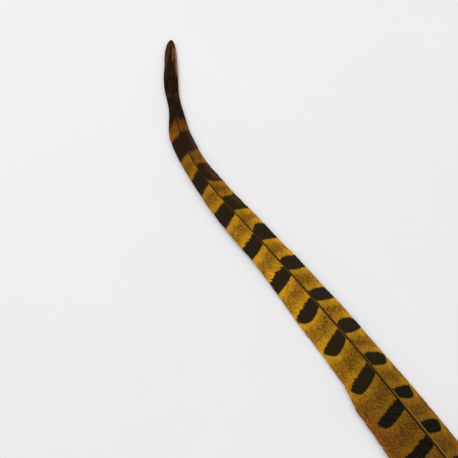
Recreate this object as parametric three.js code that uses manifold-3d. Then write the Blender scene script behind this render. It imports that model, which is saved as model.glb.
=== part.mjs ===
// A cock pheasant's tail feather, lying on a flat surface with its upper side up.
//
// Millimetres, +Z up. The quill's end is towards -X, the tip towards +X, and the wide vane is on
// the +Y side. The origin is the middle of the feather's footprint, on the surface that it lies on.
//
// Two measures find any place on the feather: s runs down the shaft from the tip, and t runs out
// from the shaft, positive into the wide vane and negative into the narrow one.

import * as THREE from 'three';
import Module from 'manifold-3d';

const manifold = await Module();
manifold.setup();

const { lerp, smoothstep, degToRad } = THREE.MathUtils;

// ---- Driving dimensions ----

const LENGTH = 405; // tip to quill's end, along the shaft
const TIP = new THREE.Vector2(198.4, -15);

// The shaft's course seen from above: nearly straight, then bent sideways towards the tip.
const QUILL_HEADING = 4; // degrees from +X
const SWAY = { turn: 4.2, from: 94, to: 277 };
const TIP_BEND = { turn: 39.7, from: 14.5, to: 110 };

// The shaft's course seen from the side: both ends lie low and the middle stands up.
const TIP_HEIGHT = 1.2;
const QUILL_HEIGHT = 1.75;
const ARCH = 4.8;

// The shaft: a fine rachis that thickens into a round, bare quill.
const SHAFT_START = 2;
const SHAFT_STEP = 9;
const SHAFT_SIDES = 8;
const SHAFT_WIDTH = { tip: 0.9, quill: 3.2 };
const SHAFT_TAPER = 2.5;
const QUILL_FROM = 372;
const SHAFT_SINK = 0.05; // how far its axis lies under the vanes, in shaft widths
const SHAFT_DEPTH = 0.95; // height over width
const QUILL_NOSE = [7, 4, 1.5, 0]; // where the rounding of its end is shaped, from the end
const QUILL_END_WIDTH = 0.45; // over its full width

// Each vane: the rounding at its tip, the swells that then widen it as [from, to, rise],
// how far towards the tip its barbs reach before they end, and the length of its longest tuft.
const WIDE_VANE = {
  side: 1,
  nose: { width: 3.9, length: 12 },
  swells: [
    [14, 24, 0.4],
    [27, 41, -1.4],
    [42, 60, 3.2],
    [76, 122, 3.1],
    [126, 192, 4.3],
    [188, 200, 0.9],
    [202, 222, 3.7],
    [222, 250, 1.8],
    [250, 296, 1.8],
    [306, 346, -3.5],
  ],
  reach: 24,
  wave: { length: 122, phase: 1.725 },
  firstSplit: 9,
  tuftLength: 27,
};
const NARROW_VANE = {
  side: -1,
  nose: { width: 3.3, length: 17 },
  swells: [
    [12, 22, 0.4],
    [33, 52, 1.5],
    [55, 68, 0.75],
    [72, 94, 1.45],
    [96, 122, 0.7],
    [130, 152, 0.75],
    [160, 180, 0.6],
    [190, 240, 0.75],
    [310, 350, -1.8],
  ],
  reach: 17,
  wave: { length: 170, phase: 1.94 },
  firstSplit: 10,
  tuftLength: 16,
};
const BARB_BOW = 1.35; // 1 is a straight barb; more bows it towards the tip
const VANE_THICKNESS = { root: 0.5, edge: 0.4 };

// The vanes' camber: how much of the shaft's height the edges fall by, and their waviness.
const DROOP = { tip: 0.45, body: 0.865, from: 30, to: 150 };
const CAMBER = 1.5; // 1 is a flat slope; more turns the edges down
const EDGE_WAVE = 1.4;

// The barbs cling together in locks that part at the vanes' edges.
const ROOTS = { first: 0.5, last: 346 };
const ROWS = 78;
const ROW_CROWDING = 1.25;
const LOCK_ROWS = 3;
const COLUMNS = [0, 0.22, 0.45, 0.68, 0.86, 1];
const SPLIT_COLUMN = 3;
const SPLIT_GAP = { least: 0.3, most: 1, from: 20, to: 140 };
const LOCK_CURL = 1.05; // how far a lock's corner turns down, for each mm that it moves off

// The down at the foot of the vanes.
const TUFTS_PER_SIDE = 13;
const TUFT_ROOTS = { from: 345, to: 376 };
const TUFT_SHRINK = 0.4; // the last tuft's length over the first's
const TUFT_WIDTH = { root: 3.6, end: 1.4 };
const TUFT_THICKNESS = 0.6;
const TUFT_LEAN = 52; // degrees off the shaft where a tuft leaves it
const TUFT_BOW = { along: 0.35, out: 0.25 };
const TUFT_END_HEIGHT = 1.1;
const TUFT_RIPPLE = 0.5;
const TUFT_WAVE = 5; // radians of ripple from root to end
const TUFT_STEPS = 6;
const TUFT_TWIST = 0.2; // across the shaft, for each mm along it
const TUFT_SPREAD = { length: 0.12, lean: 5 };

// How far apart neighbours are in the sine waves that make them differ, in radians.
const VARY = { split: 1.7, length: 2.3, lean: 1.9, ripple: 1.3 };

// ---- Where a place on the feather is ----

// The shaft's line from above, in steps of 1 mm from the tip, each on the heading at its middle.
function heading(s) {
  const sway = SWAY.turn * (1 - smoothstep(s, SWAY.from, SWAY.to));
  const bend = TIP_BEND.turn * (1 - smoothstep(s, TIP_BEND.from, TIP_BEND.to));
  return degToRad(QUILL_HEADING + sway - bend);
}

const shaftLine = [TIP.clone()];
for (let s = 0.5; s < LENGTH + 1; s += 1) {
  const step = new THREE.Vector2(-Math.cos(heading(s)), -Math.sin(heading(s)));
  shaftLine.push(shaftLine.at(-1).clone().add(step));
}

function shaftHeight(s) {
  return lerp(TIP_HEIGHT, QUILL_HEIGHT, s / LENGTH) + ARCH * Math.sin((Math.PI * s) / LENGTH);
}

function placeAt(s, t, z) {
  const before = Math.floor(s);
  const onShaft = shaftLine[before].clone().lerp(shaftLine[before + 1], s - before);
  const turn = heading(s);
  return new THREE.Vector3(onShaft.x - t * Math.sin(turn), onShaft.y + t * Math.cos(turn), z);
}

function halfWidth(vane, s) {
  const nose = 1 - Math.min(s / vane.nose.length, 1);
  let width = vane.nose.width * Math.sqrt(1 - nose * nose);
  for (const [from, to, rise] of vane.swells) {
    width += rise * smoothstep(s, from, to);
  }
  return width;
}

function edgeHeight(vane, s) {
  const wave = (1 + Math.sin((2 * Math.PI * s) / vane.wave.length + vane.wave.phase)) / 2;
  const droop = lerp(DROOP.tip, DROOP.body, smoothstep(s, DROOP.from, DROOP.to));
  return lerp(shaftHeight(s), EDGE_WAVE * wave, droop);
}

// A point of the barb that leaves the shaft at root, v of the way to its end, moved down the
// shaft by shift where its lock parts from the next one, with the lock's leading corner curled.
function barbPoint(vane, root, v, shift) {
  const end = (root * root) / (root + vane.reach);
  const out = 1 - (1 - v) ** BARB_BOW;
  const s = Math.max(lerp(root, end, v) + shift, 0);
  const z = lerp(shaftHeight(s), edgeHeight(vane, s), out ** CAMBER) - LOCK_CURL * Math.max(shift, 0);
  const point = placeAt(s, vane.side * halfWidth(vane, end) * out, z);
  point.half = lerp(VANE_THICKNESS.root, VANE_THICKNESS.edge, v) / 2;
  return point;
}

// ---- Closed solids ----

function solidFrom(positions, faces) {
  const mesh = new manifold.Mesh({
    numProp: 3,
    vertProperties: new Float32Array(positions),
    triVerts: new Uint32Array(faces),
  });
  return new manifold.Manifold(mesh);
}

// A thin slab about a sheet of triangles that turn anticlockwise seen from above.
function slab(points, triangles) {
  const positions = [];
  for (const side of [1, -1]) {
    for (const point of points) {
      positions.push(point.x, point.y, point.z + side * point.half);
    }
  }
  const faces = [];
  const rim = new Set();
  const under = points.length;
  for (const [a, b, c] of triangles) {
    faces.push(a, b, c, c + under, b + under, a + under);
    for (const [from, to] of [[a, b], [b, c], [c, a]]) {
      const twin = `${to} ${from}`;
      if (!rim.delete(twin)) {
        rim.add(`${from} ${to}`);
      }
    }
  }
  for (const edge of rim) {
    const [from, to] = edge.split(' ').map(Number);
    faces.push(from, from + under, to + under, from, to + under, to);
  }
  return solidFrom(positions, faces);
}

// A solid through rings of points that run anticlockwise seen from its first end.
function loft(rings) {
  const sides = rings[0].length;
  const positions = rings.flat().flatMap((point) => [point.x, point.y, point.z]);
  const faces = [];
  for (let ring = 0; ring + 1 < rings.length; ring += 1) {
    for (let side = 0; side < sides; side += 1) {
      const a = ring * sides + side;
      const b = ring * sides + ((side + 1) % sides);
      faces.push(a, a + sides, b + sides, a, b + sides, b);
    }
  }
  const last = (rings.length - 1) * sides;
  for (let side = 1; side + 1 < sides; side += 1) {
    faces.push(0, side, side + 1, last, last + side + 1, last + side);
  }
  return solidFrom(positions, faces);
}

// ---- The shaft ----

function shaftWidth(s) {
  const swell = Math.min(s / QUILL_FROM, 1) ** SHAFT_TAPER;
  const toEnd = Math.max(1 - (LENGTH - s) / QUILL_NOSE[0], 0);
  const rounding = Math.sqrt(1 - (1 - QUILL_END_WIDTH ** 2) * toEnd * toEnd);
  return lerp(SHAFT_WIDTH.tip, SHAFT_WIDTH.quill, swell) * rounding;
}

function shaftRing(s) {
  const width = shaftWidth(s);
  const middle = shaftHeight(s) - SHAFT_SINK * width;
  const ring = [];
  for (let side = 0; side < SHAFT_SIDES; side += 1) {
    const turn = (2 * Math.PI * side) / SHAFT_SIDES;
    const t = (width / 2) * Math.cos(turn);
    ring.push(placeAt(s, t, middle + ((SHAFT_DEPTH * width) / 2) * Math.sin(turn)));
  }
  return ring;
}

function makeShaft() {
  const rings = [];
  for (let s = SHAFT_START; s < LENGTH - QUILL_NOSE[0]; s += SHAFT_STEP) {
    rings.push(shaftRing(s));
  }
  for (const fromEnd of QUILL_NOSE) {
    rings.push(shaftRing(LENGTH - fromEnd));
  }
  return loft(rings);
}

// ---- The vanes ----

// Half the gap by which two locks part at this row, or 0 where the row is inside a lock.
function splitAt(vane, row, root) {
  if (row < vane.firstSplit || row === ROWS || (row - vane.firstSplit) % LOCK_ROWS > 0) {
    return 0;
  }
  const gap = lerp(SPLIT_GAP.least, SPLIT_GAP.most, Math.abs(Math.sin(row * VARY.split)));
  return (gap / 2) * smoothstep(root, SPLIT_GAP.from, SPLIT_GAP.to);
}

// One sheet from edge to edge. Each row follows the barbs on either side of one root. Where two
// locks part, the outer part of the row is made twice, moved apart, and leaves a notch.
function makeVanes() {
  const points = [];
  const triangles = [];
  const add = (point) => points.push(point) - 1;
  const roots = [];
  for (let row = 0; row <= ROWS; row += 1) {
    roots.push(lerp(ROOTS.first, ROOTS.last, (row / ROWS) ** ROW_CROWDING));
  }
  const midline = roots.map((root) => add(barbPoint(WIDE_VANE, root, 0, 0)));

  for (const vane of [WIDE_VANE, NARROW_VANE]) {
    const finishRow = (row, inner, shift) => {
      const made = [...inner];
      for (let column = inner.length; column < COLUMNS.length; column += 1) {
        const open = Math.max(column - SPLIT_COLUMN, 0) / (COLUMNS.length - 1 - SPLIT_COLUMN);
        made.push(add(barbPoint(vane, roots[row], COLUMNS[column], shift * open)));
      }
      return made;
    };
    let upper = finishRow(0, [midline[0]], 0);
    for (let row = 1; row <= ROWS; row += 1) {
      const split = splitAt(vane, row, roots[row]);
      const lower = finishRow(row, [midline[row]], -split);
      for (let column = 0; column + 1 < COLUMNS.length; column += 1) {
        const quad = [upper[column], upper[column + 1], lower[column + 1], lower[column]];
        const [a, b, c, d] = vane.side > 0 ? quad : quad.reverse();
        triangles.push([a, b, c], [a, c, d]);
      }
      upper = split > 0 ? finishRow(row, lower.slice(0, SPLIT_COLUMN + 1), split) : lower;
    }
  }
  return slab(points, triangles);
}

// ---- The down ----

// One tuft: a strip that leaves the shaft steeply, bows towards the tip and narrows to its end.
function makeTuft(vane, order) {
  const { side, tuftLength } = vane;
  const along = order / (TUFTS_PER_SIDE - 1);
  const root = lerp(TUFT_ROOTS.from, TUFT_ROOTS.to, along);
  const longer = 1 + TUFT_SPREAD.length * Math.sin(order * VARY.length + side);
  const length = tuftLength * lerp(1, TUFT_SHRINK, along) * longer;
  const lean = degToRad(TUFT_LEAN + TUFT_SPREAD.lean * Math.sin(order * VARY.lean + side));
  const points = [];
  const triangles = [];
  for (let step = 0; step <= TUFT_STEPS; step += 1) {
    const v = step / TUFT_STEPS;
    const width = lerp(TUFT_WIDTH.root, TUFT_WIDTH.end, v);
    const s = root - length * v * (Math.cos(lean) + TUFT_BOW.along * v);
    const t = side * length * v * Math.sin(lean) * (1 - TUFT_BOW.out * v);
    const ripple = TUFT_RIPPLE * Math.sin(order * VARY.ripple + TUFT_WAVE * v) * v;
    const z = lerp(shaftHeight(root), TUFT_END_HEIGHT, v) + ripple;
    for (const edge of [0.5, -0.5]) {
      const point = placeAt(s + edge * width * side, t + TUFT_TWIST * edge * width, z);
      point.half = TUFT_THICKNESS / 2;
      points.push(point);
    }
    if (step > 0) {
      const [a, b, c, d] = [2 * step - 2, 2 * step - 1, 2 * step + 1, 2 * step];
      triangles.push([a, b, c], [a, c, d]);
    }
  }
  return slab(points, triangles);
}

// ---- The feather, grown as one piece ----

let feather = makeVanes().add(makeShaft());
for (const vane of [WIDE_VANE, NARROW_VANE]) {
  for (let order = 0; order < TUFTS_PER_SIDE; order += 1) {
    feather = feather.add(makeTuft(vane, order));
  }
}

const { vertProperties, triVerts } = feather.getMesh();
const geometry = new THREE.BufferGeometry();
geometry.setAttribute('position', new THREE.BufferAttribute(vertProperties, 3));
geometry.setIndex(new THREE.BufferAttribute(triVerts, 1));
geometry.computeVertexNormals();

const barbs = new THREE.MeshStandardMaterial({ color: 0xa87420, roughness: 0.75, metalness: 0 });
const mesh = new THREE.Mesh(geometry, barbs);
mesh.name = 'feather';

const group = new THREE.Group();
group.add(mesh);

export default group;
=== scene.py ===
import math

import bpy
import numpy as np
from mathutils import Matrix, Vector


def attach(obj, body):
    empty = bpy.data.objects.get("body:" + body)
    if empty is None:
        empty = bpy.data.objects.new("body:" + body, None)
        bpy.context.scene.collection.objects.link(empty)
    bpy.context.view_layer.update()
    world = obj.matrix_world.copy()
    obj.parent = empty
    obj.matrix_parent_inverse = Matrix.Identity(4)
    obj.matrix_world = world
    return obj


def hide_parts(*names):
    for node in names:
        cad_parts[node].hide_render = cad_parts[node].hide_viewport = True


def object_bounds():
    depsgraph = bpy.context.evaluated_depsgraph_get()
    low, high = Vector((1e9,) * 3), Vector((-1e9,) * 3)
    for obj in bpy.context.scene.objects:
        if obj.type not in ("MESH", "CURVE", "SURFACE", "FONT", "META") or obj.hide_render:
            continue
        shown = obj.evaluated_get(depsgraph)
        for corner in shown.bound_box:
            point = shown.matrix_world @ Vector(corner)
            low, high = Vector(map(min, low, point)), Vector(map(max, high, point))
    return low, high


# A cock pheasant's tail feather, lying with its upper side up. Metres, in the frame of the packed
# part: the quill's end is towards -X, the tip towards +X, and the wide vane is on the +Y side.
# Two measures find any place on it: s runs down the shaft from the tip, and t runs out from the
# shaft, positive into the wide vane and negative into the narrow one.
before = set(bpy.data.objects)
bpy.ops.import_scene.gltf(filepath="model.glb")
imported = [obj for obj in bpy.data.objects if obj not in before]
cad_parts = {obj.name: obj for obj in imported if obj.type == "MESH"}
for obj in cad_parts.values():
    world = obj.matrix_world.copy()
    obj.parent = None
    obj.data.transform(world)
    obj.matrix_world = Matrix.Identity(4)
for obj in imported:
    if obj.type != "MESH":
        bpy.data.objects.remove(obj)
cad_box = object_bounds()


# ---- Camera ----
# It looks steeply down on the outer two thirds of the feather, with the tip at the upper left
# and the shaft running out of the view at the lower right.

AIM = Vector((0.0903, 0.0175, 0.0))
AZIMUTH = math.radians(236.9)
ELEVATION = math.radians(74)
DISTANCE = 0.2735
FOCAL_PIXELS = 547
IMAGE_SIDE = 458

look = Vector((-math.sin(AZIMUTH), math.cos(AZIMUTH), 0)) * math.cos(ELEVATION)
look.z = -math.sin(ELEVATION)
camera = bpy.data.objects.new("camera", bpy.data.cameras.new("camera"))
camera.data.lens = camera.data.sensor_width * FOCAL_PIXELS / IMAGE_SIDE
camera.data.clip_start = 0.01
camera.location = AIM - look * DISTANCE
camera.rotation_euler = look.to_track_quat("-Z", "Y").to_euler()
bpy.context.scene.collection.objects.link(camera)
bpy.context.scene.camera = camera


# ---- Shaft ----
# The shaft is one tapering horn tube: a bare, pale, hollow quill that was rooted in the skin, then
# the pith-filled rachis that carries both vanes, dark along its back and grooved underneath; lower
# down the dark is moved towards the wide vane's side of the shaft as painted shade.

LENGTH = 0.405
TIP = (0.1984, -0.0150)
QUILL_HEADING = 4
SWAY_TURN, SWAY_FROM, SWAY_TO = 4.2, 0.094, 0.277
BEND_TURN, BEND_FROM, BEND_TO = 39.7, 0.0145, 0.110
TIP_HEIGHT = 0.0012
QUILL_HEIGHT = 0.00175
ARCH = 0.0048

SHAFT_START = 0.003
TIP_WIDTH = 0.0005
QUILL_WIDTH = 0.0032
TAPER = 2.2
QUILL_FROM = 0.372
SHAFT_SINK = 0.05
SHAFT_DEPTH = 0.95
NOSE = 0.007
NOSE_WIDTH = 0.45
SHAFT_SIDES = 32
SHAFT_ROUNDNESS = 0.93
GROOVE_DEPTH = 0.17
GROOVE_SPREAD = 0.32
GROOVE_RISES = (0.030, 0.090)
GROOVE_FADES = (0.355, 0.378)
# The end turns in to the small hole through which the growing feather was fed. Each ring of it is
# given by its distance from the end and its share of the quill's width.
HOLE_RINGS = ((0.0002, 0.66), (0.0012, 0.5), (0.003, 0.3))


def smoothstep(x, start, end):
    rise = np.clip((x - start) / (end - start), 0, 1)
    return rise * rise * (3 - 2 * rise)


def mix(a, b, share):
    return a + (b - a) * share


def heading(s):
    """The shaft's direction towards the tip, seen from above, in radians from +X."""
    sway = SWAY_TURN * (1 - smoothstep(s, SWAY_FROM, SWAY_TO))
    bend = BEND_TURN * (1 - smoothstep(s, BEND_FROM, BEND_TO))
    return np.radians(QUILL_HEADING + sway - bend)


MILLIMETRE = 0.001
stations = np.arange(0, LENGTH + 2 * MILLIMETRE, MILLIMETRE)
middles = stations[:-1] + MILLIMETRE / 2
course_x = TIP[0] - MILLIMETRE * np.concatenate([[0], np.cumsum(np.cos(heading(middles)))])
course_y = TIP[1] - MILLIMETRE * np.concatenate([[0], np.cumsum(np.sin(heading(middles)))])


def shaft_height(s):
    return mix(TIP_HEIGHT, QUILL_HEIGHT, s / LENGTH) + ARCH * np.sin(np.pi * s / LENGTH)


def place(s, t, z):
    """Points at stations s and offsets t, at heights z, as an array whose last axis is x, y, z."""
    x = np.interp(s, stations, course_x) - t * np.sin(heading(s))
    y = np.interp(s, stations, course_y) + t * np.cos(heading(s))
    return np.stack([x, y, z + 0 * s], axis=-1)


def shaft_width(s):
    width = mix(TIP_WIDTH, QUILL_WIDTH, np.minimum(s / QUILL_FROM, 1) ** TAPER)
    to_end = np.maximum(1 - (LENGTH - s) / NOSE, 0)
    return width * np.sqrt(1 - (1 - NOSE_WIDTH**2) * to_end**2)


def dye(red, green, blue):
    """A colour given in the usual 0 to 255 display values, for a shader's socket."""
    display = np.array([red, green, blue]) / 255
    linear = np.where(display > 0.04045, ((display + 0.055) / 1.055) ** 2.4, display / 12.92)
    return (*linear, 1.0)


def write_attribute(mesh, name, values, domain="POINT"):
    values = np.asarray(values, np.float32)
    if values.ndim == 1:
        mesh.attributes.new(name, "FLOAT", domain).data.foreach_set("value", values)
    else:
        mesh.attributes.new(name, "FLOAT_VECTOR", domain).data.foreach_set("vector", values.ravel())


def make_shaft():
    body = np.arange(SHAFT_START, LENGTH - NOSE, 2 * MILLIMETRE)
    nose = LENGTH - NOSE * np.cos(np.linspace(0, np.pi / 2, 9))
    outside = np.concatenate([body, nose])
    from_end, narrowing = np.array(HOLE_RINGS).T
    s = np.concatenate([outside, LENGTH - from_end])
    shrink = np.concatenate([np.ones(len(outside)), narrowing])
    turn = np.linspace(0, 2 * np.pi, SHAFT_SIDES, endpoint=False)
    across, up = np.cos(turn), np.sin(turn)
    across = np.sign(across) * np.abs(across) ** SHAFT_ROUNDNESS
    width = (shaft_width(s) * shrink)[:, None]
    grooved = (smoothstep(s, *GROOVE_RISES) * (1 - smoothstep(s, *GROOVE_FADES)))[:, None]
    furrow = np.exp(-(((turn - 1.5 * np.pi) / GROOVE_SPREAD) ** 2))
    lift = SHAFT_DEPTH / 2 * up + GROOVE_DEPTH * grooved * furrow - SHAFT_SINK
    stations_2d = np.repeat(s[:, None], SHAFT_SIDES, axis=1)
    points = place(stations_2d, across * width / 2, shaft_height(stations_2d) + lift * width)
    rings = len(s)
    faces = []
    for ring in range(rings - 1):
        for side in range(SHAFT_SIDES):
            near = ring * SHAFT_SIDES + side
            beside = ring * SHAFT_SIDES + (side + 1) % SHAFT_SIDES
            faces.append((near, near + SHAFT_SIDES, beside + SHAFT_SIDES, beside))
    faces.append(tuple(range(SHAFT_SIDES)))
    faces.append(tuple(range(rings * SHAFT_SIDES - 1, (rings - 1) * SHAFT_SIDES - 1, -1)))
    mesh = bpy.data.meshes.new("shaft")
    mesh.from_pydata(points.reshape(-1, 3).tolist(), [], faces)
    upward = np.broadcast_to(up, stations_2d.shape) * MILLIMETRE
    grain = np.stack([stations_2d, across * width / 2, upward], axis=-1)
    write_attribute(mesh, "grain", grain.reshape(-1, 3) / MILLIMETRE)
    unwrap = mesh.uv_layers.new(name="OFBake")
    for face in mesh.polygons[: (rings - 1) * SHAFT_SIDES]:
        ring, side = divmod(face.index, SHAFT_SIDES)
        for loop, (r, k) in zip(face.loop_indices, [(0, 0), (1, 0), (1, 1), (0, 1)]):
            unwrap.data[loop].uv = ((ring + r) / rings * 0.98 + 0.01, (side + k) / SHAFT_SIDES * 0.9)
    for cap in mesh.polygons[(rings - 1) * SHAFT_SIDES:]:
        middle = 0.03 + 0.05 * (cap.index % 2)
        for loop, angle in zip(cap.loop_indices, turn):
            unwrap.data[loop].uv = (middle + 0.02 * math.cos(angle), 0.95 + 0.02 * math.sin(angle))
    mesh.shade_smooth()
    return mesh


class Finish:
    """A material's node tree, with a short way to add and join its nodes."""

    def __init__(self, name):
        self.material = bpy.data.materials.new(name)
        self.material.use_nodes = True
        self.tree = self.material.node_tree
        self.surface = self.tree.nodes["Principled BSDF"]

    def add(self, kind, inputs=(), **settings):
        """Adds a node. inputs maps a socket's name or place to a value or to another node's output."""
        node = self.tree.nodes.new(kind)
        for key, value in settings.items():
            setattr(node, key, value)
        for key, value in dict(inputs).items():
            self.feed(node.inputs[key], value)
        return node

    def feed(self, socket, value):
        """Sets a socket to a value, or links another node's output to it."""
        if isinstance(value, bpy.types.NodeSocket):
            self.tree.links.new(value, socket)
        else:
            socket.default_value = value

    def attribute(self, name):
        """The three parts of a vector attribute."""
        read = self.add("ShaderNodeAttribute", attribute_name=name)
        return self.add("ShaderNodeSeparateXYZ", {0: read.outputs["Vector"]}).outputs

    def work_out(self, operation, *values):
        """One step of arithmetic on numbers or sockets."""
        return self.add("ShaderNodeMath", dict(enumerate(values)), operation=operation).outputs[0]

    def plus(self, a, b):
        return self.work_out("ADD", a, b)

    def minus(self, a, b):
        return self.work_out("SUBTRACT", a, b)

    def times(self, a, b):
        return self.work_out("MULTIPLY", a, b)

    def scaled(self, value, factor, offset):
        return self.work_out("MULTIPLY_ADD", value, factor, offset)

    def ramp(self, value, low, high, start=0.0, end=1.0):
        """Eases from start to end as value goes from low to high."""
        inputs = {"Value": value, 1: low, 2: high, 3: start, 4: end}
        return self.add("ShaderNodeMapRange", inputs, interpolation_type="SMOOTHSTEP").outputs[0]

    def vector(self, x, y, z=0.0):
        return self.add("ShaderNodeCombineXYZ", {0: x, 1: y, 2: z}).outputs[0]

    def noise(self, vector, scale, detail=2.0):
        inputs = {"Vector": vector, "Scale": scale, "Detail": detail}
        return self.add("ShaderNodeTexNoise", inputs).outputs["Fac"]

    def blend(self, share, under, over, how="MIX"):
        """Lays the colour over on the colour under, by share."""
        node = self.add("ShaderNodeMix", data_type="RGBA", blend_type=how)
        for place_in_node, value in ((0, share), (6, under), (7, over)):
            self.feed(node.inputs[place_in_node], value)
        return node.outputs[2]

    def to_surface(self, **sockets):
        """Feeds the surface's sockets, named with underscores in place of spaces."""
        for key, value in sockets.items():
            self.feed(self.surface.inputs[key.replace("_", " ")], value)

    def bump(self, height, strength, distance):
        inputs = {"Strength": strength, "Distance": distance, "Height": height}
        self.to_surface(Normal=self.add("ShaderNodeBump", inputs).outputs[0])


def horn():
    """Horn, ivory at the quill and brown further up, dark along its back, with painted shade lower down.
    """
    finish = Finish("feather_horn")
    s, t, up = finish.attribute("grain")
    # From 190 mm down the dark stripe slides to the wide vane's side of the shaft. There it is painted
    # shade along that side, laid over the rachis's own dark back.
    offset = finish.work_out("ABSOLUTE", finish.minus(t, finish.ramp(s, 190.0, 240.0, 0.0, 0.42)))
    streaks = finish.noise(finish.vector(finish.times(s, 0.05), t, up), 5.0, 4.0)
    waver = finish.scaled(streaks, 0.16, -0.08)
    edge = finish.scaled(s, 0.0010, 0.12)
    dark_back_and_painted_shade = finish.ramp(finish.minus(finish.plus(offset, waver), edge), 0.10, -0.06)
    dark_back_and_painted_shade = finish.times(dark_back_and_painted_shade, finish.ramp(up, -0.2, 0.3))
    dark_back_and_painted_shade = finish.times(dark_back_and_painted_shade, finish.ramp(s, 350.0, 225.0, 0.12, 1.0))
    side = finish.blend(finish.ramp(s, 60.0, 110.0), dye(30, 16, 6), dye(122, 85, 26))
    side = finish.blend(finish.ramp(s, 262.0, 350.0), side, dye(200, 174, 128))
    worn = finish.times(finish.ramp(streaks, 0.45, 0.75), finish.ramp(s, 200.0, 300.0, 0.1, 0.35))
    side = finish.blend(worn, side, dye(150, 112, 66))
    ivory = finish.blend(finish.ramp(s, 360.0, 384.0), side, dye(226, 212, 182))
    pith = finish.blend(finish.ramp(s, 396.0, 403.0, 0.0, 0.5), ivory, dye(168, 140, 100))
    colour = finish.blend(dark_back_and_painted_shade, pith, dye(34, 18, 7))
    gloss = finish.ramp(s, 260.0, 350.0, 0.05, 0.4)
    finish.to_surface(Base_Color=colour, Roughness=0.48, Specular_IOR_Level=gloss)
    finish.bump(streaks, 0.35, 0.00006)
    return finish.material


shaft = bpy.data.objects.new("shaft", make_shaft())
bpy.context.scene.collection.objects.link(shaft)
shaft.data.materials.append(horn())
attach(shaft, "root")
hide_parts("feather")


# ---- Vanes ----
# Each vane is a row of some eight hundred barbs, flat blades of keratin that grow from the shaft
# towards the tip and hook onto their neighbours. They cling together in locks that part at the
# vane's edge. The wide vane lies on the +Y side, the narrow one on the other.

BARBS = 800
FIRST_ROOT = 0.0005
LAST_ROOT = 0.346
UNHOOKED_FROM = 0.318
CROWDING = 1.25
BARB_BOW = 1.35
BARB_STEPS = 18
# The barbs' ends are worn back by this much from the vane's outline.
EDGE_WEAR = 0.00013
# A blade is so many times as wide as the room that its barb has, first near the shaft and then
# further out, and ends in a blunt point. Its ridge's height is given as a share of its width.
BLADE_LAP, OUTER_LAP, LAP_FROM, LAP_TO = 1.4, 1.8, 0.5, 0.75
BLADE_POINT, POINT_FROM = 0.5, 0.93
RIDGE = 0.34

DROOP_TIP, DROOP_BODY, DROOP_FROM, DROOP_TO = 0.45, 0.865, 0.030, 0.150
CAMBER = 1.5
EDGE_WAVE = 0.0014

LOCK_ROWS = 78
ROWS_PER_LOCK = 3
GAP_LEAST, GAP_MOST, GAP_FROM, GAP_TO = 0.0002, 0.0007, 0.020, 0.140
LOCK_OPENS = 0.62
CURL = 1.05

# How much the barbs differ by chance, in clumps of a few and one by one.
CLUMP_FEWEST, CLUMP_MOST = 4, 9
LOOSE_FROM, LOOSE_TO = 0.03, 0.12
FRAY_FROM, FRAY_LENGTH = 0.78, 0.22
CLUMP_PARTING = 0.00009
BARB_STRAY = 0.00004
CLUMP_SPLAY, BARB_SPLAY = 0.0010, 0.0007
LENGTH_SPREAD = 0.006
UNHOOKED_SHORTER = 0.22
CLUMP_LIFT, BARB_LIFT = 0.00007, 0.000025
CLUMP_TILT, BARB_TILT = 0.05, 0.06

# A vane's half width is a rounded nose, given by its width and length, and swells, each given by
# where it starts and ends along the shaft and by how much it adds. A long barb ends nearer to the
# tip than it starts by its vane's reach. The edge's wave is given by its length and phase.
WIDE = {
    "name": "wide_vane",
    "side": 1,
    "nose": (0.0039, 0.012),
    "swells": [
        (0.014, 0.024, 0.0004),
        (0.027, 0.041, -0.0014),
        (0.042, 0.060, 0.0032),
        (0.076, 0.122, 0.0031),
        (0.126, 0.192, 0.0043),
        (0.188, 0.200, 0.0009),
        (0.202, 0.222, 0.0037),
        (0.222, 0.250, 0.0018),
        (0.250, 0.296, 0.0018),
        (0.306, 0.346, -0.0035),
    ],
    "reach": 0.024,
    "wave": (0.122, 1.725),
    "first_split": 9,
    "seed": 11,
    "bar_slant": 0.55,
    "bars": [
        (58.2, 70.4, 59.4, 71.3, 61.0, 72.4, 4.0),
        (80.8, 90.7, 81.8, 91.7, 83.4, 92.8, 4.0),
        (102.8, 111.2, 103.0, 112.5, 103.7, 113.6, 4.0),
        (124.6, 131.9, 125.5, 133.3, 126.3, 133.8, 4.0),
        (146.2, 152.5, 146.3, 154.0, 147.8, 154.6, 4.0),
        (165.7, 172.2, 166.7, 174.3, 168.7, 174.4, 1.05),
        (184.9, 190.9, 186.4, 193.8, 188.5, 194.4, 0.96),
        (204.7, 211.0, 206.4, 213.7, 208.9, 214.7, 0.93),
        (224.5, 230.2, 226.2, 232.1, 227.9, 232.8, 0.82),
        (243.7, 249.2, 245.0, 250.9, 246.8, 251.3, 0.78),
    ],
}
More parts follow.
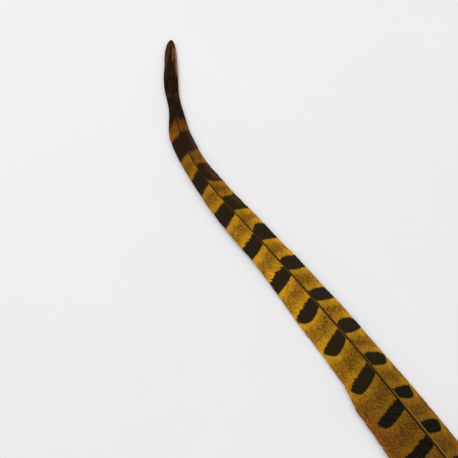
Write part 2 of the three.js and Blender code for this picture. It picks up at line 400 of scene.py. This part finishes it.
NARROW = {
    "name": "narrow_vane",
    "side": -1,
    "nose": (0.0033, 0.017),
    "swells": [
        (0.012, 0.022, 0.0004),
        (0.033, 0.052, 0.0015),
        (0.055, 0.068, 0.00075),
        (0.072, 0.094, 0.00145),
        (0.096, 0.122, 0.0007),
        (0.130, 0.152, 0.00075),
        (0.160, 0.180, 0.0006),
        (0.190, 0.240, 0.00075),
        (0.310, 0.350, -0.0018),
    ],
    "reach": 0.017,
    "wave": (0.170, 1.94),
    "first_split": 10,
    "seed": 23,
    "bar_slant": 0.3,
    "bars": [
        (57.1, 70.1, 56.9, 70.0, 56.6, 69.4, 4.0),
        (78.7, 88.6, 77.8, 91.1, 79.7, 92.6, 4.0),
        (100.0, 109.8, 101.3, 111.0, 101.8, 112.6, 4.0),
        (123.2, 130.2, 121.5, 131.6, 122.8, 133.3, 4.0),
        (142.9, 149.7, 143.2, 151.8, 144.8, 153.2, 4.0),
        (162.9, 169.0, 163.9, 171.4, 165.8, 173.0, 4.0),
        (182.6, 188.6, 182.5, 190.6, 185.2, 191.4, 1.3),
        (201.0, 207.1, 202.4, 209.9, 206.0, 211.2, 1.0),
        (219.8, 225.0, 222.0, 228.5, 223.8, 229.2, 0.93),
        (238.2, 244.1, 240.0, 246.6, 242.9, 248.4, 0.90),
    ],
}


def half_width(vane, s):
    widest, length = vane["nose"]
    width = widest * np.sqrt(1 - (1 - np.clip(s / length, 0, 1)) ** 2)
    for start, end, rise in vane["swells"]:
        width = width + rise * smoothstep(s, start, end)
    return width


def edge_height(vane, s):
    length, phase = vane["wave"]
    wave = (1 + np.sin(2 * np.pi * s / length + phase)) / 2
    droop = mix(DROOP_TIP, DROOP_BODY, smoothstep(s, DROOP_FROM, DROOP_TO))
    return mix(shaft_height(s), EDGE_WAVE * wave, droop)


def vane_height(vane, s, out):
    return mix(shaft_height(s), edge_height(vane, s), out**CAMBER)


def lock_shift(vane, roots):
    """How far each barb's end leans down the shaft because its lock parts from the next one."""
    rows = np.arange(vane["first_split"], LOCK_ROWS, ROWS_PER_LOCK)
    splits = mix(FIRST_ROOT, LAST_ROOT, (rows / LOCK_ROWS) ** CROWDING)
    gaps = mix(GAP_LEAST, GAP_MOST, np.abs(np.sin(rows * 1.7))) / 2
    gaps = gaps * smoothstep(splits, GAP_FROM, GAP_TO)
    lock = np.searchsorted(splits, roots)
    bounds = np.concatenate([[0], splits, [LAST_ROOT]])
    upper = np.concatenate([[0], gaps])[lock]
    lower = np.concatenate([gaps, [0]])[lock]
    share = (roots - bounds[lock]) / (bounds[lock + 1] - bounds[lock])
    return mix(upper, -lower, share)


def grow_barbs(vane):
    """The lines of a vane's barbs and what each point knows, as arrays of barbs by steps."""
    chance = np.random.default_rng(vane["seed"])
    order = np.arange(BARBS)[:, None]
    root = mix(FIRST_ROOT, LAST_ROOT, (order / (BARBS - 1)) ** CROWDING)
    v = np.linspace(0, 1, BARB_STEPS + 1)[None, :]
    end = root**2 / (root + vane["reach"])

    # Where each barb lies in an unruffled vane, for its slope and for the room that it has.
    smooth_s = mix(root, end, v)
    out = 1 - (1 - v) ** BARB_BOW
    smooth_t = vane["side"] * (half_width(vane, end) - EDGE_WEAR) * out
    smooth = place(smooth_s, smooth_t, vane_height(vane, smooth_s, out))
    onward = np.gradient(smooth, axis=1)
    onward /= np.linalg.norm(onward, axis=2, keepdims=True)
    aside = np.gradient(smooth, axis=0)
    aside -= onward * (aside * onward).sum(axis=2, keepdims=True)
    room = np.linalg.norm(aside, axis=2)
    aside /= np.maximum(room, 1e-9)[..., None]
    normal = np.cross(onward, aside)
    normal *= np.sign(normal[..., 2:3])

    # Locks part, small clumps of barbs part a little more, and single barbs stray.
    shift = lock_shift(vane, root[:, 0])
    starts = np.cumsum(chance.integers(CLUMP_FEWEST, CLUMP_MOST + 1, BARBS))
    clump = np.searchsorted(starts, np.arange(BARBS), side="right")
    within = np.arange(BARBS) - np.concatenate([[0], starts])[clump]
    size = np.concatenate([[starts[0]], np.diff(starts)])[clump]
    loose = smoothstep(root[:, 0], LOOSE_FROM, LOOSE_TO)
    parting = chance.uniform(0.0, CLUMP_PARTING, BARBS)[clump] * (0.5 - (within + 0.5) / size) * loose
    opened = np.clip((v - LOCK_OPENS) / (1 - LOCK_OPENS), 0, 1)
    frayed = np.clip((v - FRAY_FROM) / FRAY_LENGTH, 0, 1)
    leaning = shift[:, None] * opened + parting[:, None] * 2 * frayed
    leaning = leaning + chance.normal(0, BARB_STRAY, (BARBS, 1)) * frayed * loose[:, None]
    # The last barbs above the down have lost their hooks, and splay.
    unhooked = smoothstep(root, UNHOOKED_FROM, LAST_ROOT) * v**1.5
    splay = chance.normal(0, CLUMP_SPLAY, BARBS)[clump] + chance.normal(0, BARB_SPLAY, BARBS)
    leaning = leaning + splay[:, None] * unhooked
    s = np.maximum(mix(root, end, v) + leaning, 0.0001)
    longer = 1 + chance.normal(0, LENGTH_SPREAD, (BARBS, 1)) * v**3
    longer = longer + chance.normal(0, LENGTH_SPREAD, BARBS)[clump][:, None] * v**4
    longer = longer - chance.uniform(0, UNHOOKED_SHORTER, (BARBS, 1)) * unhooked
    t = smooth_t * longer
    z = vane_height(vane, s, np.minimum(out * longer, 1.05))
    z = z - CURL * np.maximum(shift[:, None], 0) * opened
    lift = chance.normal(0, CLUMP_LIFT, BARBS)[clump][:, None] * v**2
    z = z + lift + chance.normal(0, BARB_LIFT, (BARBS, 1)) * v
    points = place(s, t, z)

    tilt = chance.normal(0, BARB_TILT, BARBS) + chance.normal(0, CLUMP_TILT, BARBS)[clump]
    lie = normal + aside * tilt[:, None, None]
    lie /= np.linalg.norm(lie, axis=2, keepdims=True)
    lap = mix(BLADE_LAP, OUTER_LAP, smoothstep(v, LAP_FROM, LAP_TO))
    girth = room * lap * mix(1.0, BLADE_POINT, smoothstep(v, POINT_FROM, 1.0))
    steps = np.linalg.norm(np.diff(points, axis=1), axis=2)
    along = np.concatenate([np.zeros((BARBS, 1)), np.cumsum(steps, axis=1)], axis=1)
    everywhere = np.zeros_like(s)
    return {
        "points": points,
        "lie": lie,
        "girth": girth,
        "s": s / MILLIMETRE,
        "t": np.abs(t) / MILLIMETRE,
        "half": (half_width(vane, s) + everywhere) / MILLIMETRE,
        "out": out + everywhere,
        "order": order + everywhere,
        "clump": clump[:, None] + everywhere,
        "along": along / MILLIMETRE,
        "v": v + everywhere,
    }


# Bars are pigment laid down as the barbs grew. Each is given by its tip side and its other side in
# millimetres from the tip, beside the shaft, halfway out and near the vane's edge, and by the share
# of the vane's width that its tip side reaches, which is 4.0 where it runs out to the edge. Its end
# slants with the barbs and has rounded corners. Further down the bars follow at an even pitch.
BAR_KNOTS = (0.08, 0.5, 0.9)
BAR_PITCH = 19.0
BAR_CORNER = 1.7
BARS = 16


def bar_edges(vane, number, share):
    """The bar's two sides at a share of the vane's width, tip side first, and where it ends."""
    known = vane["bars"]
    *edges, stop = known[min(number, len(known) - 1)]
    further = BAR_PITCH * max(number - len(known) + 1, 0)
    start = np.polyval(np.polyfit(BAR_KNOTS, edges[0::2], 2), share)
    end = np.polyval(np.polyfit(BAR_KNOTS, edges[1::2], 2), share)
    return start + further, end + further, stop


def bar_depths(vane, s, t, half):
    """How deep a place lies in the nearest bar, and whether the bar's tip side is the nearer one."""
    depth = np.full(s.shape, -1e3)
    tipward = np.zeros(s.shape)
    share = t / half
    slant = vane["bar_slant"]
    for number in range(BARS):
        start, end, stop = bar_edges(vane, number, share)
        to_end = (stop * half - t - slant * (s - start)) / math.hypot(1, slant)
        to_side = np.minimum(s - start, end - s)
        cut = np.hypot(np.maximum(BAR_CORNER - to_side, 0), np.maximum(BAR_CORNER - to_end, 0))
        inside = np.where(cut > 0, BAR_CORNER - cut, np.minimum(to_side, to_end))
        tipward = np.where(inside > depth, np.clip((end + start - 2 * s) / 2, -1, 1), tipward)
        depth = np.maximum(depth, inside)
    return depth, tipward


def tones(vane, s, t, out):
    """Three shares, from s and t in millimetres: the dusky tip, the edge's rust and pale streaks."""
    wide = vane["side"] > 0
    dusk_ends = 50.0 + (1.0 if wide else 0.3) * t
    core = (0.5 + 0.12 * (s - 5)) if wide else (0.2 + 0.07 * (s - 6))
    dusk = smoothstep(s, 3, 7) * (1 - smoothstep(t, core, core + 0.9))
    dusk = np.maximum(dusk, 0.7 * (1 - smoothstep(s, 1.2, 2.6)))
    dusk = np.maximum(dusk, smoothstep(s, 13, 24)) * (1 - smoothstep(s, dusk_ends - 4.0, dusk_ends + 2.0))
    dusk = dusk * (1 - 0.4 * np.exp(-(((s - 34.5) / 2.4) ** 2)) * smoothstep(t, 0.7, 1.6))
    if wide:
        rust = smoothstep(s, 188, 245) * smoothstep(out, 0.50, 0.92)
        rust = rust + 0.35 * smoothstep(s, 205, 300) * smoothstep(out, 0.05, 0.5)
        pale = 0 * s
    else:
        rust = 0.45 * smoothstep(s, 195, 290) * smoothstep(out, 0.45, 1.0)
        pale = 0.85 * smoothstep(out, 0.68, 0.9) * smoothstep(s, 4, 8) * (1 - smoothstep(s, 19, 25))
        streak = np.exp(-(((t - 0.75) / 0.32) ** 2)) * smoothstep(s, 4, 6) * (1 - smoothstep(s, 11, 15))
        pale = np.maximum(pale, 0.6 * streak)
    return np.stack([dusk, np.clip(rust, 0, 1), pale], axis=-1)


def strength(vane, s, out):
    """How strong the golden ground is. It deepens towards the tip and beside the lower shaft."""
    if vane["side"] < 0:
        fresh = mix(0.52, 0.86, smoothstep(s, 80, 130)) * mix(1, 0.90, smoothstep(s, 140, 158))
        fresh = fresh * mix(1, 1.15, smoothstep(s, 200, 228))
        return fresh * mix(0.92, mix(1.0, 1.34, smoothstep(s, 50, 90)), smoothstep(out, 0.55, 0.85))
    inner = mix(0.70, 0.94, smoothstep(s, 50, 120)) * mix(1, 0.70, smoothstep(s, 155, 205))
    inner = inner * mix(1, 1.14, smoothstep(s, 222, 240))
    outer = mix(0.75, 1.15, smoothstep(s, 85, 135)) * mix(1, 0.86, smoothstep(s, 150, 185))
    outer = outer * mix(1, 0.88, smoothstep(s, 205, 222))
    # Painted light: from 145 to 220 mm the wide vane's very edge is made brighter, to offset the shade
    # where the edge droops to the table.
    fringe = mix(1, 1.3, smoothstep(s, 145, 220) * smoothstep(out, 0.86, 0.96))
    return mix(inner, outer, smoothstep(out, 0.45, 0.7)) * fringe


def blade_tree():
    """Sweeps a low three-sided blade along each barb's line, as wide as the barb's girth."""
    tree = bpy.data.node_groups.new("barb_blades", "GeometryNodeTree")
    tree.interface.new_socket("Barb lines", in_out="INPUT", socket_type="NodeSocketGeometry")
    tree.interface.new_socket("Ridge height", in_out="INPUT", socket_type="NodeSocketFloat")
    tree.interface.new_socket("Finish", in_out="INPUT", socket_type="NodeSocketMaterial")
    tree.interface.new_socket("Blades", in_out="OUTPUT", socket_type="NodeSocketGeometry")
    add, join = tree.nodes.new, tree.links.new
    given = add("NodeGroupInput")
    lines = add("GeometryNodeMeshToCurve")
    upright = add("GeometryNodeSetCurveNormal")
    upright.mode = "FREE"
    lie = add("GeometryNodeInputNamedAttribute")
    lie.data_type = "FLOAT_VECTOR"
    lie.inputs["Name"].default_value = "lie"
    girth = add("GeometryNodeInputNamedAttribute")
    girth.inputs["Name"].default_value = "girth"
    section = add("GeometryNodeCurvePrimitiveCircle")
    section.inputs["Resolution"].default_value = 3
    # This radius gives the three sides a length of 1.
    section.inputs["Radius"].default_value = 1 / math.sqrt(3)
    flat = add("ShaderNodeCombineXYZ")
    flat.inputs["Y"].default_value = 1
    flatten = add("GeometryNodeTransform")
    sweep = add("GeometryNodeCurveToMesh")
    sweep.inputs["Fill Caps"].default_value = True
    creased = add("GeometryNodeSetShadeSmooth")
    creased.inputs["Shade Smooth"].default_value = False
    real = add("GeometryNodeRealizeInstances")
    coat = add("GeometryNodeSetMaterial")
    result = add("NodeGroupOutput")
    join(given.outputs["Barb lines"], lines.inputs["Mesh"])
    join(lines.outputs["Curve"], upright.inputs["Curve"])
    join(lie.outputs["Attribute"], upright.inputs["Normal"])
    join(given.outputs["Ridge height"], flat.inputs["X"])
    join(section.outputs["Curve"], flatten.inputs["Geometry"])
    join(flat.outputs["Vector"], flatten.inputs["Scale"])
    join(upright.outputs["Curve"], sweep.inputs["Curve"])
    join(flatten.outputs["Geometry"], sweep.inputs["Profile Curve"])
    join(girth.outputs["Attribute"], sweep.inputs["Scale"])
    join(sweep.outputs["Mesh"], creased.inputs["Geometry"])
    join(creased.outputs["Geometry"], real.inputs["Geometry"])
    join(real.outputs["Geometry"], coat.inputs["Geometry"])
    join(given.outputs["Finish"], coat.inputs["Material"])
    join(coat.outputs["Geometry"], result.inputs["Blades"])
    return tree


def run_tree(piece, tree, inputs):
    """Puts the tree on the piece, sets its named inputs, and leaves the piece a plain mesh."""
    modifier = piece.modifiers.new(tree.name, "NODES")
    modifier.node_group = tree
    for socket in tree.interface.items_tree:
        if socket.in_out == "INPUT" and socket.name in inputs:
            modifier[socket.identifier] = inputs[socket.name]
    bpy.context.view_layer.update()
    depsgraph = bpy.context.evaluated_depsgraph_get()
    plain = bpy.data.meshes.new_from_object(piece.evaluated_get(depsgraph), depsgraph=depsgraph)
    piece.modifiers.remove(modifier)
    piece.data = plain


def read_attribute(mesh, name):
    attribute = mesh.attributes[name]
    if attribute.data_type == "FLOAT":
        values = np.empty(len(attribute.data), np.float32)
        attribute.data.foreach_get("value", values)
        return values
    values = np.empty(len(attribute.data) * 3, np.float32)
    attribute.data.foreach_get("vector", values)
    return values.reshape(-1, 3)


def blade_faces(mesh):
    """For each corner its point, its part of the section and its face; for each face what it is."""
    corners = np.empty(len(mesh.loops), np.int32)
    mesh.loops.foreach_get("vertex_index", corners)
    starts = np.empty(len(mesh.polygons), np.int32)
    mesh.polygons.foreach_get("loop_start", starts)
    totals = np.empty(len(mesh.polygons), np.int32)
    mesh.polygons.foreach_get("loop_total", totals)
    # A blade's section has its ridge first, then its two margins.
    part = corners % 3
    is_cap = totals == 3
    beneath = np.zeros(len(totals))
    quads = np.flatnonzero(~is_cap)
    beneath[quads] = (part[starts[quads][:, None] + np.arange(4)] != 0).all(axis=1)
    face = np.repeat(np.arange(len(totals)), totals)
    return corners, part, face, is_cap, beneath


UNWRAP_COLUMNS = 8


def unwrap_blades(mesh, count):
    """Lays the blades out in columns, each with its upper faces beside its underside."""
    corners, part, face, is_cap, beneath = blade_faces(mesh)
    order = np.round(read_attribute(mesh, "weave")[corners, 0])
    v = read_attribute(mesh, "v")[corners]
    rows = math.ceil(count / UNWRAP_COLUMNS)
    inward = np.where(is_cap[face] & (part == 0), np.where(v > 0.5, -0.01, 0.01), 0)
    across = np.choose(part, [0.25, 0.03, 0.47]) + 0.5 * beneath[face]
    u = (order // rows + 0.02 + 0.96 * v + inward) / UNWRAP_COLUMNS
    unwrap = mesh.uv_layers.new(name="OFBake")
    unwrap.data.foreach_set("uv", np.stack([u, (order % rows + across) / rows], axis=-1).ravel())
    write_attribute(mesh, "under", beneath, "FACE")


def chance_for(finish, number):
    """A random share for each whole number, so that all of one barb or clump has the same."""
    whole = {"W": finish.work_out("ROUND", number)}
    return finish.add("ShaderNodeTexWhiteNoise", whole, noise_dimensions="1D").outputs["Value"]


def plumage():
    """Golden ochre barbs with black-brown bars, mottled between them, dusky at the tip."""
    finish = Finish("barred_barbs")
    s, t, wide = finish.attribute("spot")
    order, along, clump = finish.attribute("weave")
    inside, tipward, strong = finish.attribute("pattern")
    dusk, rust, pale = finish.attribute("tone")
    under = finish.add("ShaderNodeAttribute", attribute_name="under").outputs["Fac"]
    one_barb = chance_for(finish, order)
    one_clump = chance_for(finish, clump)

    def along_barbs(by_barb, by_millimetre, detail):
        across = finish.times(order, by_barb)
        onward = finish.times(along, by_millimetre)
        return finish.noise(finish.vector(across, onward, wide), 1.0, detail)

    flames = along_barbs(0.2, 0.12, 2.0)
    streaks = along_barbs(0.42, 0.2, 2.0)
    grains = along_barbs(0.36, 0.62, 2.5)
    specks = along_barbs(0.6, 1.0, 3.0)
    clouds = finish.noise(finish.vector(s, t, wide), 0.35, 3.0)

    # The bars' tip sides are ragged and their other sides cleaner, and the first bars are softest.
    stray = finish.scaled(one_barb, 0.5, -0.25)
    jag = finish.plus(finish.scaled(flames, 2.6, -1.3), stray)
    depth = finish.scaled(jag, finish.ramp(tipward, -0.5, 0.5, 0.3, 1.0), inside)
    soft = finish.ramp(s, 55.0, 150.0, 1.1, 0.35)
    ragged = finish.times(finish.minus(streaks, 0.5), finish.times(soft, 3.0))
    depth = finish.plus(depth, ragged)
    barred = finish.ramp(finish.work_out("DIVIDE", depth, soft), -1.0, 1.0)

    # The ground is gold between the bars, duller beside them, and mottled along the barbs.
    glow = finish.ramp(finish.scaled(clouds, 5.0, depth), -3.2, 1.6)
    ground = finish.blend(glow, dye(162, 113, 22), dye(206, 150, 23))
    ground = finish.blend(finish.ramp(s, 42.0, 115.0, 0.65, 0.0), ground, dye(112, 70, 10))
    ground = finish.blend(finish.ramp(s, 180.0, 245.0, 0.0, 0.75), ground, dye(104, 68, 12))
    ground = finish.blend(rust, ground, dye(132, 76, 18))
    mottle = finish.ramp(grains, 0.46, 0.58, 0.0, 0.7)
    mottle = finish.work_out("MAXIMUM", mottle, finish.ramp(specks, 0.5, 0.62, 0.0, 0.7))
    mottle = finish.times(mottle, finish.ramp(glow, 1.0, 0.0, 0.5, 1.0))
    ground = finish.blend(mottle, ground, dye(82, 50, 9))
    flecks = finish.times(finish.ramp(specks, 0.46, 0.36), finish.ramp(s, 170.0, 250.0, 0.5, 0.22))
    ground = finish.blend(flecks, ground, dye(206, 154, 40))
    tint = finish.scaled(one_barb, 0.16, 0.87)
    tint = finish.scaled(one_clump, 0.10, tint)
    streaky = finish.ramp(s, 60.0, 130.0, 1.2, 0.5)
    tint = finish.scaled(finish.minus(streaks, 0.5), streaky, tint)
    tint = finish.times(tint, strong)
    less_green = finish.times(tint, finish.ramp(s, 45.0, 130.0, 0.79, 1.0))
    ground = finish.blend(1.0, ground, finish.vector(tint, less_green, tint), "MULTIPLY")

    # The very tip is brown, with pale streaks in the narrow vane, and the next stretch is dusky.
    brown_tip = finish.blend(finish.ramp(streaks, 0.38, 0.62), dye(50, 26, 8), dye(96, 56, 22))
    colour = finish.blend(finish.ramp(s, 26.0, 12.0), ground, brown_tip)
    dusky = finish.blend(finish.ramp(streaks, 0.46, 0.66), dye(18, 9, 2), dye(60, 38, 10))
    streaked = finish.scaled(streaks, 1.2, finish.minus(dusk, 0.6))
    colour = finish.blend(finish.ramp(streaked, 0.15, 0.85), colour, dusky)
    pale = finish.times(pale, finish.ramp(streaks, 0.36, 0.56, 0.35, 1.0))
    colour = finish.blend(pale, colour, dye(178, 128, 90))

    # The bars are brown-black. The first ones of the narrow vane fade to olive away from the shaft.
    black = finish.blend(finish.ramp(s, 60.0, 150.0), dye(40, 21, 7), dye(37, 29, 13))
    black = finish.blend(finish.ramp(s, 190.0, 240.0), black, dye(14, 10, 3))
    black = finish.blend(finish.ramp(specks, 0.48, 0.68, 0.0, 0.45), black, dye(62, 50, 28))
    olive = finish.blend(finish.ramp(grains, 0.42, 0.6), dye(96, 68, 24), dye(54, 36, 16))
    faint = finish.times(finish.ramp(s, 122.0, 92.0, 0.0, 0.7), finish.ramp(t, 2.6, 5.6))
    black = finish.blend(finish.times(faint, finish.ramp(wide, 0.5, 0.0)), black, olive)
    colour = finish.blend(barred, colour, black)

    # The last barbs are weathered, and the underside is greyer all over.
    weathered = finish.blend(finish.ramp(streaks, 0.34, 0.66), dye(122, 102, 80), dye(88, 69, 50))
    colour = finish.blend(finish.ramp(s, 306.0, 346.0, 0.0, 0.85), colour, weathered)
    greyed = finish.blend(0.55, colour, dye(128, 110, 88))
    colour = finish.blend(under, colour, greyed)
    finish.to_surface(Base_Color=colour, Roughness=0.6, Specular_IOR_Level=0.05)
    finish.bump(specks, 0.3, 0.00005)
    return finish.material


def make_vane(vane, tree, paint):
    barbs = grow_barbs(vane)
    count = barbs["points"].shape[1]
    links = [
        (barb * count + step, barb * count + step + 1)
        for barb in range(BARBS)
        for step in range(count - 1)
    ]
    mesh = bpy.data.meshes.new(vane["name"])
    mesh.from_pydata(barbs["points"].reshape(-1, 3).tolist(), links, [])
    depth, tipward = bar_depths(vane, barbs["s"], barbs["t"], barbs["half"])
    fields = {
        "lie": barbs["lie"],
        "spot": np.stack([barbs["s"], barbs["t"], 0 * barbs["s"] + max(vane["side"], 0)], axis=-1),
        "weave": np.stack([barbs["order"], barbs["along"], barbs["clump"]], axis=-1),
        "pattern": np.stack([depth, tipward, strength(vane, barbs["s"], barbs["out"])], axis=-1),
        "tone": tones(vane, barbs["s"], barbs["t"], barbs["out"]),
    }
    for name, values in fields.items():
        write_attribute(mesh, name, values.reshape(-1, 3))
    write_attribute(mesh, "girth", barbs["girth"].ravel())
    write_attribute(mesh, "v", barbs["v"].ravel())
    piece = bpy.data.objects.new(vane["name"], mesh)
    bpy.context.scene.collection.objects.link(piece)
    run_tree(piece, tree, {"Ridge height": RIDGE, "Finish": paint})
    unwrap_blades(piece.data, BARBS)
    return piece


blades = blade_tree()
paint = plumage()
for vane in (WIDE, NARROW):
    piece = make_vane(vane, blades, paint)
    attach(piece, "root")
    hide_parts("feather")


# ---- Down ----
# At the foot of the vanes the barbs have no hooks. They are soft grey-brown threads that splay
# out on both sides of the quill, each fringed on both sides with its own fine threads.

WISPS = 44
WISP_STEPS = 12
FRINGE = 46
PATH_POINTS = 200
DOWN_SEED = 37
DOWN_FROM, DOWN_TO = 0.338, 0.376
WIDE_LONGEST, NARROW_LONGEST = 0.027, 0.016
DOWN_SHRINK = 0.4
DOWN_LEAN = 52
DOWN_END_HEIGHT = 0.0011
DOWN_WAVER = 0.00012
FRINGE_LENGTH = 0.0027
FRINGE_STRAY = 0.22
WISP_GIRTH = 0.00014
FRINGE_GIRTH = 0.00007
DOWN_RIDGE = 0.8


def wisp_points(side, longest, order, v, stray):
    """Places along one wisp, which leans away from the shaft and bows towards the tip."""
    along = order / (WISPS - 1)
    beat = 12 * along
    length = longest * mix(1, DOWN_SHRINK, along) * (1 + 0.12 * np.sin(2.3 * beat + side)) * stray[0]
    lean = math.radians(DOWN_LEAN + 5 * math.sin(1.9 * beat + side) + stray[1])
    root = mix(DOWN_FROM, DOWN_TO, along)
    s = root - length * v * (math.cos(lean) + 0.35 * v)
    t = side * length * v * math.sin(lean) * (1 - 0.25 * v)
    z = mix(shaft_height(root), DOWN_END_HEIGHT + stray[2] * MILLIMETRE, v)
    z = z + 0.0005 * np.sin(1.3 * beat + 5 * v) * v
    return place(s, t, np.maximum(z, 0.0002))


def grow_down(side, longest, chance):
    """The wisps of one side with their fringes, as points, lines between them and what they know."""
    points, links, girths, fluff = [], [], [], []

    def add_thread(line, girth, know):
        first = links[-1][1] + 1 if links else 0
        points.append(line)
        links.extend((first + step, first + step + 1) for step in range(len(line) - 1))
        girths.append(girth)
        fluff.append(know)

    for order in range(WISPS):
        stray = (chance.uniform(0.82, 1.06), chance.normal(0, 5), chance.uniform(-0.6, 0.9))
        v = np.linspace(0, 1, WISP_STEPS + 1)
        line = wisp_points(side, longest, order, v, stray)
        line = line + chance.normal(0, DOWN_WAVER, line.shape) * v[:, None]
        lane = order + (WISPS if side < 0 else 0)
        know = np.stack([np.full(len(v), lane), v, 0 * v], axis=-1)
        add_thread(line, mix(WISP_GIRTH, WISP_GIRTH / 3, v), know)
        fine = np.linspace(0, 1, PATH_POINTS)
        path = np.stack([np.interp(fine, v, line[:, axis]) for axis in range(3)], axis=-1)
        for hand in (-1, 1):
            starts = (np.arange(FRINGE) + chance.uniform(0, 0.9, FRINGE)) / FRINGE * 0.9 + 0.06
            for start in starts:
                at = int(start * (PATH_POINTS - 1))
                onward = path[min(at + 5, PATH_POINTS - 1)] - path[max(at - 5, 0)]
                onward = onward / np.linalg.norm(onward)
                across = np.cross(onward, (0, 0, 1)) * hand
                reach = FRINGE_LENGTH * chance.uniform(0.7, 1.15) * (1 - 0.45 * start)
                w = np.array([0, 0.45, 1.0])[:, None]
                bend = chance.normal(0, FRINGE_STRAY, 3)
                course = across * (0.75 - 0.25 * w) + onward * (0.3 + 0.5 * w) + bend * w
                thread = path[at] + reach * w * course
                thread[:, 2] = np.maximum(thread[:, 2], 0.0001)
                know = np.stack([np.full(3, lane), np.full(3, start), hand * w[:, 0]], axis=-1)
                add_thread(thread, FRINGE_GIRTH * np.array([1, 0.85, 0.4]), know)
    return points, links, girths, fluff


def unwrap_down(mesh):
    """Each wisp has a column, with its fringe opened out to both sides of it."""
    corners, part, face, is_cap, _ = blade_faces(mesh)
    lane, start, reach = read_attribute(mesh, "fluff")[corners].T
    inward = np.where(is_cap[face] & (part == 0), -0.03 * np.sign(reach), 0)
    nudge = np.choose(part, [0.0, -0.011, 0.011])
    stem = np.abs(reach) < 1e-4
    u = np.round(lane) + 0.5 + np.where(stem, 0.02 * (part - 0.5), 0)
    u = (u + 0.46 * reach + inward) / (2 * WISPS)
    unwrap = mesh.uv_layers.new(name="OFBake")
    unwrap.data.foreach_set("uv", np.stack([u, 0.02 + 0.95 * start + nudge], axis=-1).ravel())


def soft_down():
    """Grey-brown threads, paler at their roots, and each wisp a little different."""
    finish = Finish("grey_brown_down")
    lane, start, reach = finish.attribute("fluff")
    one_wisp = chance_for(finish, lane)
    patches = finish.noise(finish.vector(lane, finish.times(start, 6.0), reach), 0.8)
    colour = finish.blend(finish.ramp(start, 0.0, 0.8), dye(172, 158, 140), dye(118, 98, 78))
    colour = finish.blend(finish.ramp(patches, 0.4, 0.7, 0.0, 0.5), colour, dye(96, 76, 58))
    colour = finish.blend(finish.times(one_wisp, 0.35), colour, dye(196, 184, 168))
    finish.to_surface(Base_Color=colour, Roughness=0.8, Specular_IOR_Level=0.1)
    return finish.material


def make_down(tree, coat):
    chance = np.random.default_rng(DOWN_SEED)
    halves = [grow_down(1, WIDE_LONGEST, chance), grow_down(-1, NARROW_LONGEST, chance)]
    points, girths, fluff = (
        np.concatenate([np.concatenate(half[part]) for half in halves]) for part in (0, 2, 3)
    )
    shift = sum(len(line) for line in halves[0][0])
    links = halves[0][1] + [(a + shift, b + shift) for a, b in halves[1][1]]
    mesh = bpy.data.meshes.new("down")
    mesh.from_pydata(points.tolist(), links, [])
    write_attribute(mesh, "lie", np.tile((0.0, 0.0, 1.0), (len(points), 1)))
    write_attribute(mesh, "girth", girths)
    write_attribute(mesh, "fluff", fluff)
    piece = bpy.data.objects.new("down", mesh)
    bpy.context.scene.collection.objects.link(piece)
    run_tree(piece, tree, {"Ridge height": DOWN_RIDGE, "Finish": coat})
    unwrap_down(piece.data)
    return piece


down = make_down(blades, soft_down())
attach(down, "root")
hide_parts("feather")


# ---- Table and light ----
# A plain pale table in an even, bright room, lit by a soft window beyond the tip and by a wider,
# weaker light that bounces back from the other side.

FLOOR_HALF = 8.0
FLOOR_CLEARANCE = 0.00002

floor_z = min(corner.z for corner in cad_box) - FLOOR_CLEARANCE
floor_corners = [
    (x * FLOOR_HALF, y * FLOOR_HALF, floor_z) for x, y in ((-1, -1), (1, -1), (1, 1), (-1, 1))
]
floor_mesh = bpy.data.meshes.new("table")
floor_mesh.from_pydata(floor_corners, [], [(0, 1, 2, 3)])
floor = bpy.data.objects.new("table", floor_mesh)
bpy.context.scene.collection.objects.link(floor)
pale_board = Finish("pale_board")
coordinates = pale_board.add("ShaderNodeTexCoord").outputs["Object"]
mottle = pale_board.noise(coordinates, 18.0, 3.0)
board_colour = pale_board.blend(mottle, dye(232, 230, 231), dye(238, 237, 237))
pale_board.to_surface(Base_Color=board_colour, Roughness=0.7)
floor_mesh.materials.append(pale_board.material)


def add_light(name, towards, distance, size, watts):
    light = bpy.data.lights.new(name, "AREA")
    light.shape = "DISK"
    light.size = size
    light.energy = watts
    lamp = bpy.data.objects.new(name, light)
    direction = Vector(towards).normalized()
    lamp.location = AIM + direction * distance
    lamp.rotation_euler = (-direction).to_track_quat("-Z", "Y").to_euler()
    bpy.context.scene.collection.objects.link(lamp)


add_light("window", towards=(0.75, 0.10, 1.15), distance=1.3, size=0.8, watts=5.2)
add_light("bounce", towards=(-0.6, -0.5, 1.0), distance=1.6, size=1.4, watts=1.6)
room = bpy.data.worlds.new("room")
room.use_nodes = True
room.node_tree.nodes["Background"].inputs["Color"].default_value = (1, 1, 1, 1)
room.node_tree.nodes["Background"].inputs["Strength"].default_value = 0.75
bpy.context.scene.world = room
bpy.context.scene.view_settings.view_transform = "Standard"
